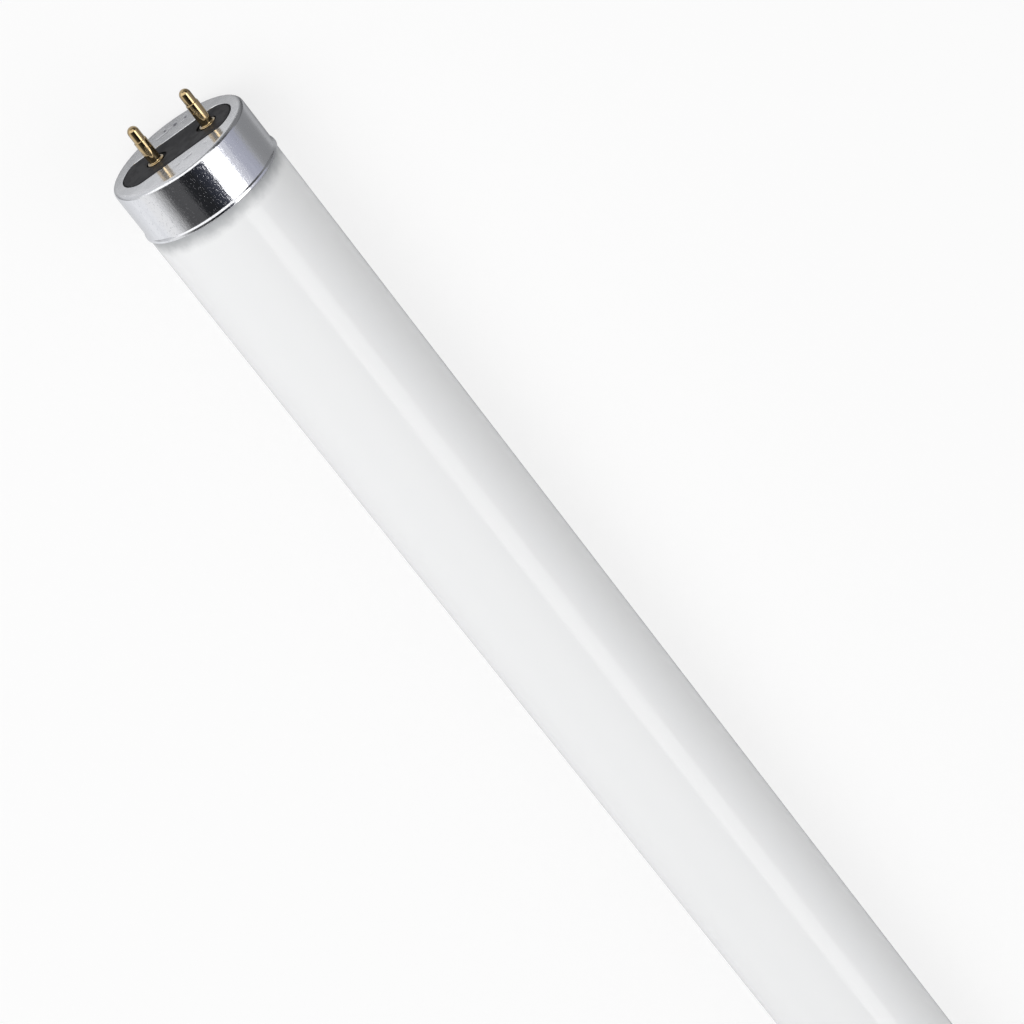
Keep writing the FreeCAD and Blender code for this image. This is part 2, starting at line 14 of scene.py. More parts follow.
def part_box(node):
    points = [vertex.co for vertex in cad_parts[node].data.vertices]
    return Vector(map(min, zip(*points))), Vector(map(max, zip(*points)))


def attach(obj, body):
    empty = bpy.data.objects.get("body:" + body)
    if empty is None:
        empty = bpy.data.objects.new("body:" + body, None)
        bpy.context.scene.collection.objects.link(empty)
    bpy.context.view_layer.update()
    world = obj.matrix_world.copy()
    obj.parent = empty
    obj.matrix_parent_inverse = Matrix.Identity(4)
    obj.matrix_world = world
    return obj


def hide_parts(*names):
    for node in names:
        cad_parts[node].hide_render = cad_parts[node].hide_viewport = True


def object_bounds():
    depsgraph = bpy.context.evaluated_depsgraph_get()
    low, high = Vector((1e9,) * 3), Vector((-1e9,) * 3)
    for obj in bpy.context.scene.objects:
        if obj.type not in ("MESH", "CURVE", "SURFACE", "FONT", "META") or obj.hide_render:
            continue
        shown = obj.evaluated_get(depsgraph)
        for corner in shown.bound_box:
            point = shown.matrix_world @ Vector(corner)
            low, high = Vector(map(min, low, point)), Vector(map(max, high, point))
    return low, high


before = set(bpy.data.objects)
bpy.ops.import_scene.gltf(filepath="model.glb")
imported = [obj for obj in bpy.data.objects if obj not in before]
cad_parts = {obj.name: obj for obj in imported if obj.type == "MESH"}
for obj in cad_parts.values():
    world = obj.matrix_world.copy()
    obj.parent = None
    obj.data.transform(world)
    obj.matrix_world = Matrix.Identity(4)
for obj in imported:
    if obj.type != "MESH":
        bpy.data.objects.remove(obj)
CAD_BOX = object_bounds()

LOG = logging.getLogger("lamp")
MM = 0.001
QUARTER = math.pi / 2
MERGE_DISTANCE = 0.002 * MM

Piece = bpy.types.Object
Node = bpy.types.Node
Socket = bpy.types.NodeSocket
Inputs = dict[str | int, object]
Outputs = bpy.types.bpy_prop_collection
Colour = tuple[float, float, float]
Station = tuple[float, float]


class End(Enum):
    """The two ends of the lamp, by the letter that their pieces carry."""

    NEAR = "a"
    FAR = "b"

    @property
    def turn(self) -> float:
        """How far the near end's pieces turn about Z to stand at this end."""
        return 0.0 if self is End.NEAR else math.pi


class Slot(Enum):
    """The material slots that the record names."""

    GLASS = "opal_glass"
    CAP = "cap_metal"
    PIN = "pin_brass"
    PLATE = "black_plate"
    CEMENT = "basing_cement"
    WIRE = "lead_wire"


# Work at the bench: selection, cutting, copying and finishing of meshes

def deselect_all() -> None:
    """Leave object mode's selection empty."""
    if bpy.context.object is not None and bpy.context.object.mode != "OBJECT":
        bpy.ops.object.mode_set(mode="OBJECT")
    bpy.ops.object.select_all(action="DESELECT")


def make_active(piece: Piece) -> None:
    """Select one object alone and make it the active one.

    Args:
        piece: The object to work on.
    """
    deselect_all()
    piece.select_set(True)
    bpy.context.view_layer.objects.active = piece


def apply_place() -> None:
    """Move the active object's place, turn and scale into its mesh."""
    bpy.ops.object.transform_apply(location=True, rotation=True, scale=True)


def apply_modifier(piece: Piece, kind: str, **settings: object) -> None:
    """Add a modifier with its settings and apply it.

    Args:
        piece: The object that is modified.
        kind: The modifier's type.
        settings: The modifier's own settings by name.
    """
    make_active(piece)
    modifier = piece.modifiers.new(kind.lower(), kind)
    for setting, value in settings.items():
        setattr(modifier, setting, value)
    bpy.ops.object.modifier_apply(modifier=modifier.name)


def drill(piece: Piece, start: Vector, length: float, radius: float, sides: int) -> None:
    """Cut a round hole along X into a piece.

    Args:
        piece: The object that is cut.
        start: The middle of the hole's end that has the lower X.
        length: Length along X.
        radius: Radius of the hole.
        sides: How many flat sides it has.
    """
    deselect_all()
    bpy.ops.mesh.primitive_cylinder_add(
        vertices=sides, radius=radius, depth=length,
        location=start + Vector((length / 2, 0, 0)), rotation=(0, QUARTER, 0),
    )
    apply_place()
    cutter = bpy.context.object
    apply_modifier(piece, "BOOLEAN", operation="DIFFERENCE", object=cutter, solver="EXACT")
    bpy.data.objects.remove(cutter)


def close_and_smooth(piece: Piece, crease: float = 35.0) -> None:
    """Merge doubles, close open rings, point the faces outwards and shade the piece smooth.

    Args:
        piece: The object to finish.
        crease: Edges sharper than this many degrees stay sharp.
    """
    make_active(piece)
    bpy.ops.object.mode_set(mode="EDIT")
    bpy.ops.mesh.select_mode(type="VERT")
    bpy.ops.mesh.select_all(action="SELECT")
    bpy.ops.mesh.remove_doubles(threshold=MERGE_DISTANCE)
    bpy.ops.mesh.select_all(action="DESELECT")
    bpy.ops.mesh.select_non_manifold(
        extend=False, use_wire=False, use_multi_face=False, use_non_contiguous=False
    )
    if any(vertex.select for vertex in bmesh.from_edit_mesh(piece.data).verts):
        bpy.ops.mesh.edge_face_add()
    bpy.ops.mesh.select_all(action="SELECT")
    bpy.ops.mesh.normals_make_consistent(inside=False)
    bpy.ops.object.mode_set(mode="OBJECT")
    bpy.ops.object.shade_smooth_by_angle(angle=math.radians(crease))


def copy_of(piece: Piece, name: str, turn: float, shift: Vector) -> Piece:
    """Copy a finished piece with a mesh of its own, moved and then turned about Z.

    Args:
        piece: The piece to copy.
        name: The name of the copy.
        turn: Turn about Z through the middle of the lamp, in radians.
        shift: Move before that turn.

    Returns:
        The copy.
    """
    make_active(piece)
    bpy.ops.object.duplicate(linked=False)
    copy = bpy.context.object
    copy.name = name
    copy.data.name = name
    copy.data.transform(Matrix.Rotation(turn, 4, "Z") @ Matrix.Translation(shift))
    return copy


def hand_over(piece: Piece, finish: "Finish", node: str) -> None:
    """Dress a finished piece and let it stand in for its solid.

    Args:
        piece: The finished piece.
        finish: The finish that it gets.
        node: The solid that it stands in for.
    """
    finish.dress(piece)
    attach(piece, "root")
    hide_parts(node)


def hand_over_both(near: Piece, name: str, finish: "Finish", node: str) -> list[Piece]:
    """Copy a piece of the near end to the far end, and hand both over.

    Args:
        near: The near end's piece.
        name: The name of both, without the end's letter.
        finish: The finish that they get.
        node: The solids that they stand in for, without the end's letter.

    Returns:
        The near and the far piece.
    """
    far = copy_of(near, f"{name}_{End.FAR.value}", End.FAR.turn, Vector())
    for piece, end in ((near, End.NEAR), (far, End.FAR)):
        hand_over(piece, finish, f"{node}_{end.value}")
    return [near, far]


# Outlines: stations are pairs of a depth along X and a radius or margin

def bend(middle: Station, radius: float, start: float, finish: float, steps: int) -> list[Station]:
    """Give stations along an arc, without its first point.

    Args:
        middle: The arc's middle.
        radius: The arc's own radius.
        start: First angle in degrees, 0 towards more depth and 90 outwards.
        finish: Last angle.
        steps: How many stations.

    Returns:
        The stations.
    """
    turns = [math.radians(start + (finish - start) * step / steps) for step in range(1, steps + 1)]
    return [(middle[0] + radius * math.cos(turn), middle[1] + radius * math.sin(turn)) for turn in turns]


def s_bend(start: Station, finish: Station, steps: int, inset: float = 0.0) -> list[Station]:
    """Give stations along two equal arcs that widen a wall, with both ends.

    Args:
        start: Where the bend starts.
        finish: Where it ends.
        steps: Stations in each arc.
        inset: How far inside that line the stations lie, for the inner side of a wall.

    Returns:
        The stations.
    """
    run, rise = finish[0] - start[0], finish[1] - start[1]
    radius = (run * run + rise * rise) / (4 * rise)
    sweep = math.degrees(math.asin(run / 2 / radius))
    opening = bend((start[0], start[1] + radius), radius + inset, -90, sweep - 90, steps)
    closing = bend((finish[0], finish[1] - radius), radius - inset, 90 + sweep, 90, steps)
    return [(start[0], start[1] - inset)] + opening + closing


@dataclass(frozen=True)
class Oblong:
    """The oblong of the hole in a cap: straight long sides, curved ends and rounded corners."""

    half_straight: float = 9.9 * MM
    half_width: float = 6.5 * MM
    bulge: float = 3.35 * MM
    corner: float = 2.8 * MM

    def grown(self, margin: float) -> "Oblong":
        """Give the outline that lies a margin outside this one, or inside it where that is negative."""
        rounds = self.half_width + margin, self.bulge + margin, self.corner + margin
        return Oblong(self.half_straight, *rounds)

    def reach(self, angle: float) -> float:
        """Give the distance from the middle to the outline.

        Args:
            angle: Direction, 0 along the long side.

        Returns:
            The distance in metres.
        """
        along, up = abs(math.cos(angle)), abs(math.sin(angle))
        end_radius = (self.half_width**2 + self.bulge**2) / (2 * self.bulge)
        end_middle = self.half_straight + self.bulge - end_radius
        corner_up = self.half_width - self.corner
        corner_along = end_middle + math.sqrt((end_radius - self.corner) ** 2 - corner_up**2)
        turn_share = end_radius / (end_radius - self.corner)
        bend_finish = (end_middle + (corner_along - end_middle) * turn_share, corner_up * turn_share)
        if along * self.half_width <= up * corner_along:
            return self.half_width / up
        if along * bend_finish[1] <= up * bend_finish[0]:
            middle, radius = (corner_along, corner_up), self.corner
        else:
            middle, radius = (end_middle, 0.0), end_radius
        shadow = along * middle[0] + up * middle[1]
        return shadow + math.sqrt(shadow**2 - middle[0] ** 2 - middle[1] ** 2 + radius**2)


@dataclass
class RingRun:
    """A skin grown ring by ring from a circle, around the line along X through the middle, at depth 0."""

    name: str
    segments: int
    middle: Vector
    depth: float = 0.0
    radius: float = 0.0
    piece: Piece | None = None

    def start(self, depth: float, radius: float) -> None:
        """Add the first ring.

        Args:
            depth: Place along X, from the middle point.
            radius: Radius of the ring.
        """
        deselect_all()
        bpy.ops.mesh.primitive_circle_add(
            vertices=self.segments, radius=radius,
            location=self.middle + Vector((depth, 0, 0)), rotation=(0, QUARTER, 0),
        )
        self.piece = bpy.context.object
        self.piece.name = self.name
        self.piece.data.name = self.name
        apply_place()
        bpy.ops.object.mode_set(mode="EDIT")
        bpy.ops.mesh.select_all(action="SELECT")
        self.depth = depth
        self.radius = radius

    def ring(self, depth: float, radius: float) -> None:
        """Extrude the open ring to a new depth and radius.

        Args:
            depth: Place of the new ring along X, from the middle point.
            radius: Radius of the new ring.
        """
        bpy.ops.mesh.extrude_edges_move(TRANSFORM_OT_translate={"value": (depth - self.depth, 0, 0)})
        if radius != self.radius:
            growth = radius / self.radius
            bpy.ops.transform.resize(
                value=(1, growth, growth), center_override=self.middle + Vector((depth, 0, 0))
            )
        self.depth = depth
        self.radius = radius

    def rings(self, stations: list[Station]) -> None:
        """Extrude through a list of depths and radii."""
        for depth, radius in stations:
            self.ring(depth, radius)

    def shaped_ring(self, depth: float, reach: Callable[[float], float]) -> None:
        """Extrude the open ring to a depth and an outline of its own."""
        self.ring(depth, self.radius)
        self.shape(reach)

    def shaped_rings(self, outline: Oblong, stations: list[Station]) -> None:
        """Extrude through a list of depths and margins around an outline."""
        for depth, margin in stations:
            self.shaped_ring(depth, outline.grown(margin).reach)

    def shape(self, reach: Callable[[float], float]) -> None:
        """Move each vertex of the open ring along its ray to the outline.

        Args:
            reach: Distance from the middle for an angle that is 0 towards +Y and grows towards +Z.
        """
        mesh = bmesh.from_edit_mesh(self.piece.data)
        for vertex in mesh.verts:
            if vertex.select:
                across = vertex.co - self.middle
                angle = math.atan2(across.z, across.y)
                distance = reach(angle)
                vertex.co.y = self.middle.y + distance * math.cos(angle)
                vertex.co.z = self.middle.z + distance * math.sin(angle)
        bmesh.update_edit_mesh(self.piece.data)

    def cap_off(self) -> None:
        """Close the open ring with one face."""
        bpy.ops.mesh.edge_face_add()

    def done(self) -> Piece:
        """Leave edit mode and give the piece."""
        bpy.ops.object.mode_set(mode="OBJECT")
        return self.piece


# Node trees

@dataclass(frozen=True)
class Graph:
    """A node tree with short ways to add nodes and feed their sockets."""

    tree: bpy.types.NodeTree

    def feed(self, node: Node, inputs: Inputs) -> Node:
        """Fill a node's input sockets.

        Args:
            node: The node.
            inputs: What each socket holds or is linked to, by its name or number.

        Returns:
            The node.
        """
        for name, value in inputs.items():
            if isinstance(value, Socket):
                self.tree.links.new(value, node.inputs[name])
            else:
                node.inputs[name].default_value = value
        return node

    def add(self, kind: str, inputs: Inputs | None = None, **settings: object) -> Node:
        """Add a node.

        Args:
            kind: The node's type, without the word Shader and the word Node after it.
            inputs: What its input sockets hold or are linked to.
            settings: The node's own settings.

        Returns:
            The new node.
        """
        node = self.tree.nodes.new(kind if kind.startswith("NodeGroup") else f"ShaderNode{kind}")
        for setting, value in settings.items():
            setattr(node, setting, value)
        return self.feed(node, inputs or {})

    def maths(self, operation: str, *values: object, clamp: bool = False) -> Socket:
        """Work on numbers, and give the result."""
        node = self.add("Math", dict(enumerate(values)), operation=operation, use_clamp=clamp)
        return node.outputs[0]

    def plus(self, first: object, second: object) -> Socket:
        """Add two numbers."""
        return self.maths("ADD", first, second)

    def minus(self, first: object, second: object) -> Socket:
        """Take the second number from the first."""
        return self.maths("SUBTRACT", first, second)

    def times(self, first: object, second: object, clamp: bool = False) -> Socket:
        """Multiply two numbers."""
        return self.maths("MULTIPLY", first, second, clamp=clamp)

    def size(self, value: Socket) -> Socket:
        """Give a number without its sign."""
        return self.maths("ABSOLUTE", value)

    def remap(
        self, value: object, low: float, high: float, to_low: float = 0.0, to_high: float = 1.0
    ) -> Socket:
        """Map a value smoothly from one range to another, and hold it there beyond its ends."""
        inputs = {"Value": value, "From Min": low, "From Max": high, "To Min": to_low, "To Max": to_high}
        return self.add("MapRange", inputs, interpolation_type="SMOOTHSTEP").outputs["Result"]

    def blend(self, share: object, first: object, second: object) -> Socket:
        """Blend two colours by a share. A mix's colour sockets are its numbers 6 and 7, and 2 going out."""
        return self.add("Mix", {0: share, 6: first, 7: second}, data_type="RGBA").outputs[2]

    def noise(self, vector: Socket, scale: float, detail: float, roughness: float) -> Socket:
        """Add a noise and give its grey value."""
        settings = {"Vector": vector, "Scale": scale, "Detail": detail, "Roughness": roughness}
        return self.add("TexNoise", settings).outputs["Fac"]

    def bump(self, strength: float, distance: float, height: Socket) -> Socket:
        """Give the normal of a surface with a height on it."""
        inputs = {"Strength": strength, "Distance": distance, "Height": height}
        return self.add("Bump", inputs).outputs["Normal"]

    def axes(self, coordinates: str = "Object") -> Outputs:
        """Give the place on the object, or its normal, as X, Y and Z."""
        return self.add("SeparateXYZ", {"Vector": self.add("TexCoord").outputs[coordinates]}).outputs

    def object_place(self, along: float = 1.0) -> Socket:
        """Give the place on the object in millimetres, with X stretched by a factor."""
        inputs = {"Vector": self.add("TexCoord").outputs["Object"], "Scale": (along / MM, 1 / MM, 1 / MM)}
        return self.add("Mapping", inputs).outputs["Vector"]

    def use(self, group: bpy.types.NodeTree, place: Socket, **values: float) -> Outputs:
        """Place a group with its own numbers, _ for a space in their names, and give what comes out."""
        numbers = {name.replace("_", " "): value for name, value in values.items()}
        return self.add("Group", {"Vector": place, **numbers}, node_tree=group).outputs


def blank_graph(owner: bpy.types.Material | bpy.types.World) -> Graph:
    """Give a material or the world an empty node tree.

    Args:
        owner: What the tree belongs to.

    Returns:
        The tree's graph.
    """
    owner.use_nodes = True
    owner.node_tree.nodes.clear()
    return Graph(owner.node_tree)


def opaque(colour: Colour) -> tuple[float, float, float, float]:
    """Give a colour its full alpha."""
    return (*colour, 1.0)


def new_group(name: str, inputs: dict[str, float], outputs: list[str]) -> bpy.types.NodeTree:
    """Start a group with a vector and numbers going in, and numbers coming out.

    Args:
        name: Name of the group.
        inputs: Each number that goes in, with its usual value.
        outputs: Each number that comes out.

    Returns:
        The group's tree.
    """
    group = bpy.data.node_groups.new(name, "ShaderNodeTree")
    group.interface.new_socket("Vector", in_out="INPUT", socket_type="NodeSocketVector")
    for label, value in inputs.items():
        socket = group.interface.new_socket(label, in_out="INPUT", socket_type="NodeSocketFloat")
        socket.default_value = value
    for label in outputs:
        group.interface.new_socket(label, in_out="OUTPUT", socket_type="NodeSocketFloat")
    return group


def drawn_grain_group() -> bpy.types.NodeTree:
    """Make the grain that drawing and handling leave in sheet metal.

    Returns:
        A group that gives a height, and masks of pits and of dull patches.
    """
    group = new_group("drawn_grain", {"Fineness": 1.0, "Pits": 0.5}, ["Height", "Pit", "Patch"])
    graph = Graph(group)
    given = graph.add("NodeGroupInput").outputs
    scaling = graph.add("VectorMath", {0: given["Vector"]}, operation="SCALE")
    scaled = graph.feed(scaling, {"Scale": given["Fineness"]}).outputs[0]
    fine = graph.noise(scaled, 1.6, 4.0, 0.6)
    coarse = graph.noise(scaled, 0.22, 2.0, 0.5)
    specks = graph.noise(scaled, 1.5, 2.0, 0.5)
    limit = graph.minus(0.74, graph.times(given["Pits"], 0.16))
    pit = graph.times(graph.minus(specks, limit), 16.0, clamp=True)
    height = graph.plus(graph.times(fine, 0.6), graph.times(coarse, 0.4))
    graph.add("NodeGroupOutput", {"Height": height, "Pit": pit, "Patch": graph.remap(coarse, 0.42, 0.62)})
    return group


def edge_wear_group() -> bpy.types.NodeTree:
    """Make the mask of edges that handling has rubbed bright.

    Returns:
        A group that gives the mask.
    """
    group = new_group("edge_wear", {"Reach": 0.5, "Break up": 0.5}, ["Wear"])
    graph = Graph(group)
    given = graph.add("NodeGroupInput").outputs
    keen = graph.add("NewGeometry").outputs["Pointiness"]
    rough = graph.noise(given["Vector"], 0.9, 3.0, 0.6)
    broken = graph.times(graph.minus(rough, 0.5), given["Break up"])
    limit = graph.minus(0.56, graph.times(given["Reach"], 0.06))
    above = graph.minus(graph.plus(keen, graph.times(broken, 0.1)), limit)
    graph.add("NodeGroupOutput", {"Wear": graph.times(above, 14.0, clamp=True)})
    return group


@dataclass(frozen=True)
class Finish:
    """What every finish does: make its material once, and put it on pieces."""

    grain: bpy.types.NodeTree
    name = "finish"

    def sockets(self, graph: Graph) -> Inputs:
        """Give what the sockets of the material's Principled BSDF hold. Each finish has its own."""
        raise NotImplementedError

    def material(self) -> bpy.types.Material:
        """Give this finish's material, made when it is first asked for.

        Returns:
            The material.
        """
        made = bpy.data.materials.get(self.name)
        if made is None:
            made = bpy.data.materials.new(self.name)
            graph = blank_graph(made)
            surface = graph.add("BsdfPrincipled", self.sockets(graph))
            graph.add("OutputMaterial", {"Surface": surface.outputs["BSDF"]})
        return made

    def dress(self, piece: Piece) -> None:
        """Make this finish the only material of a piece."""
        piece.data.materials.clear()
        piece.data.materials.append(self.material())


@dataclass(frozen=True)
class DrawnAluminium(Finish):
    """Bright drawn aluminium: polished walls with draw lines and pits, and a duller face."""

    wear: bpy.types.NodeTree
    face: float
    name: str = "drawn_aluminium"
    # Painted shade: the colour that the face's dents are darkened to.
    dent_shade: Colour = (0.28, 0.28, 0.31)
    metal: Colour = (0.81, 0.815, 0.835)
    dull: Colour = (0.56, 0.565, 0.60)
    face_share: float = 0.70
    wall_roughness: float = 0.07
    face_roughness: float = 0.11
    pit_roughness: float = 0.21

    def shade_in_dents(self, graph: Graph) -> Socket:
        """Give the mask of painted shade in the face's dents, which lie deeper than the flat around them.

        Args:
            graph: The material's graph.

        Returns:
            The mask, 0 at the hole's rim and at the corner too.
        """
        place = graph.axes()
        across, up = place["Y"], graph.size(place["Z"])
        depth = graph.minus(self.face, graph.size(place["X"]))
        away = graph.maths("SQRT", graph.plus(graph.times(across, across), graph.times(up, up)))
        inside = graph.remap(away, 14.0 * MM, 14.6 * MM, 1.0, 0.0)
        beside_hole = graph.remap(up, 7.4 * MM, 7.9 * MM)
        shaded_depth = graph.remap(depth, 0.06 * MM, 0.26 * MM)
        return graph.times(shaded_depth, graph.times(inside, beside_hole))

    def sockets(self, graph: Graph) -> Inputs:
        """Work out the metal, with the face told from the wall by its direction.

        Args:
            graph: The material's graph.

        Returns:
            What the sockets hold.
        """
        even = graph.object_place(0.6)
        lines = graph.use(self.grain, graph.object_place(0.12), Fineness=1.2, Pits=0.3)
        pits = graph.use(self.grain, even, Fineness=2.2, Pits=1.0)
        wear = graph.use(self.wear, even, Reach=0.5, Break_up=0.6)
        face = graph.remap(graph.size(graph.axes("Normal")["X"]), 0.75, 0.97)
        wall = graph.minus(1.0, face)
        pit = graph.times(pits["Pit"], graph.remap(wall, 0.0, 1.0, 0.25, 1.0))
        dullness = graph.maths("MAXIMUM", graph.times(pit, 0.45), graph.times(lines["Patch"], 0.25))
        kept = graph.times(dullness, graph.minus(1.0, wear["Wear"]))
        clean = graph.blend(kept, opaque(self.metal), opaque(self.dull))
        smooth = graph.remap(face, 0.0, 1.0, self.wall_roughness, self.face_roughness)
        worn = graph.plus(graph.times(lines["Patch"], 0.03), graph.times(pit, self.pit_roughness))
        grain = graph.plus(graph.times(lines["Height"], 1.1), pits["Height"])
        height = graph.times(grain, graph.remap(wall, 0.0, 1.0, 0.45, 1.0))
        return {
            # Painted shade: the dents are darkened by their depth below the face.
            "Base Color": graph.blend(self.shade_in_dents(graph), clean, opaque(self.dent_shade)),
            "Roughness": graph.plus(smooth, worn),
            "Metallic": graph.remap(face, 0.0, 1.0, 1.0, self.face_share),
            "Normal": graph.bump(1.0, 0.026 * MM, height),
        }


@dataclass(frozen=True)
class PlatedBrass(Finish):
    """Bright brass with fine scratches and a little brown in patches."""

    wear: bpy.types.NodeTree
    name: str = "plated_brass"
    metal: Colour = (0.50, 0.345, 0.125)
    tarnish: Colour = (0.36, 0.23, 0.075)
    roughness: float = 0.04

    def sockets(self, graph: Graph) -> Inputs:
        """Work out the brass.

        Args:
            graph: The material's graph.

        Returns:
            What the sockets hold.
        """
        along = graph.object_place(0.15)
        lines = graph.use(self.grain, along, Fineness=2.0, Pits=0.2)
        wear = graph.use(self.wear, along, Reach=0.3, Break_up=0.6)
        kept = graph.times(graph.times(lines["Patch"], 0.35), graph.minus(1.0, wear["Wear"]))
        return {
            "Base Color": graph.blend(kept, opaque(self.metal), opaque(self.tarnish)),
            "Roughness": graph.plus(self.roughness, graph.times(lines["Patch"], 0.02)),
            "Metallic": 1.0,
            "Coat Weight": 1.0,
            "Coat IOR": 2.0,
            "Normal": graph.bump(0.1, 0.003 * MM, lines["Height"]),
        }


@dataclass(frozen=True)
class MouldedPhenolic(Finish):
    """Black moulded plate, satin, with a fine moulded grain, and painted shade making its hollows near
    black.
    """

    face: float
    name: str = "moulded_phenolic"
    body: Colour = (0.030, 0.030, 0.033)
    rubbed: Colour = (0.056, 0.056, 0.060)
    # Painted shade: the near-black colour of the plate's hollows.
    hollow: Colour = (0.002, 0.002, 0.002)

    def sockets(self, graph: Graph) -> Inputs:
        """Work out the moulding.

        Args:
            graph: The material's graph.

        Returns:
            What the sockets hold.
        """
        grain = graph.use(self.grain, graph.object_place(), Fineness=2.2, Pits=0.5)
        share = graph.times(grain["Height"], 0.6)
        open_colour = graph.blend(share, opaque(self.body), opaque(self.rubbed))
        # Painted shade: near black where the plate lies deeper than its face, in the pin recesses and the
        # gap around the raised middle.
        depth = graph.minus(self.face, graph.size(graph.axes()["X"]))
        shaded_depth = graph.remap(depth, 0.08 * MM, 0.22 * MM)
        return {
            "Base Color": graph.blend(shaded_depth, open_colour, opaque(self.hollow)),
            "Roughness": graph.plus(0.42, graph.times(grain["Patch"], 0.12)),
            "Specular IOR Level": 0.08,
            "Normal": graph.bump(0.35, 0.03 * MM, grain["Height"]),
        }


@dataclass(frozen=True)
class OpalGlass(Finish):
    """Glossy glass with a white coating inside, greyer near the caps: partly the coating thinning out there,
    partly painted shade next to the caps.
    """

    half_length: float
    name: str = "coated_glass"
    coated: Colour = (0.90, 0.905, 0.91)
    # Grey near the caps: thinning coat and painted shade together.
    thin_coat_and_shade: Colour = (0.46, 0.47, 0.48)

    def sockets(self, graph: Graph) -> Inputs:
        """Work out the glass.

        Args:
            graph: The material's graph.

        Returns:
            What the sockets hold.
        """
        from_cap = graph.minus(self.half_length, graph.size(graph.axes()["X"]))
        grain = graph.use(self.grain, graph.object_place(), Fineness=0.25, Pits=0.0)
        ragged = graph.times(graph.minus(grain["Height"], 0.5), 3.0 * MM)
        # Painted shade, together with the thinning coat: greyer within about 4 mm of each cap, with a ragged
        # edge.
        thin_coat_and_cap_shade = graph.remap(graph.plus(from_cap, ragged), 0.2 * MM, 4.0 * MM, 1.0, 0.0)
        return {
            "Base Color": graph.blend(thin_coat_and_cap_shade, opaque(self.coated), opaque(self.thin_coat_and_shade)),
            "Roughness": graph.remap(grain["Patch"], 0.0, 1.0, 0.10, 0.16),
            "IOR": 1.5,
            "Specular IOR Level": 0.28,
        }


@dataclass(frozen=True)
class BasingCement(Finish):
    """Hard brown cement with grit in it."""

    name: str = "gritty_cement"
    paste: Colour = (0.42, 0.30, 0.19)
    grit: Colour = (0.62, 0.52, 0.40)

    def sockets(self, graph: Graph) -> Inputs:
        """Work out the cement.

        Args:
            graph: The material's graph.

        Returns:
            What the sockets hold.
        """
        grain = graph.use(self.grain, graph.object_place(), Fineness=1.5, Pits=1.0)
        return {
            "Base Color": graph.blend(grain["Height"], opaque(self.paste), opaque(self.grit)),
            "Roughness": 0.85,
            "Normal": graph.bump(0.8, 0.1 * MM, grain["Height"]),
        }


@dataclass(frozen=True)
class DrawnWire(Finish):
    """Bright drawn wire with lines along it."""

    name: str = "drawn_wire"
    metal: Colour = (0.70, 0.69, 0.67)
    dark: Colour = (0.45, 0.42, 0.38)

    def sockets(self, graph: Graph) -> Inputs:
        """Work out the wire.

        Args:
            graph: The material's graph.

        Returns:
            What the sockets hold.
        """
        grain = graph.use(self.grain, graph.object_place(0.2), Fineness=5.0, Pits=0.2)
        return {
            "Base Color": graph.blend(grain["Patch"], opaque(self.metal), opaque(self.dark)),
            "Roughness": graph.plus(0.25, graph.times(grain["Height"], 0.15)),
            "Metallic": 1.0,
        }


# The pieces of the lamp

@dataclass(frozen=True)
class Dent:
    """A small dent in a cap's face, pressed along a short line across it. Its sizes are in millimetres."""

    start: tuple[float, float]
    finish: tuple[float, float]
    reach: float
    depth: float

    def push(self, across: float, up: float) -> float:
        """Give how far the face is pressed in at a place on it.

        Args:
            across: The place along Y, in millimetres.
            up: The place along Z, in millimetres.

        Returns:
            The depth there in millimetres.
        """
        run = (self.finish[0] - self.start[0], self.finish[1] - self.start[1])
        shadow = (across - self.start[0]) * run[0] + (up - self.start[1]) * run[1]
        share = min(1.0, max(0.0, shadow / (run[0] ** 2 + run[1] ** 2)))
        away = math.hypot(across - self.start[0] - share * run[0], up - self.start[1] - share * run[1])
        nearness = max(0.0, 1 - away / self.reach)
        return self.depth * nearness * nearness * (3 - 2 * nearness)


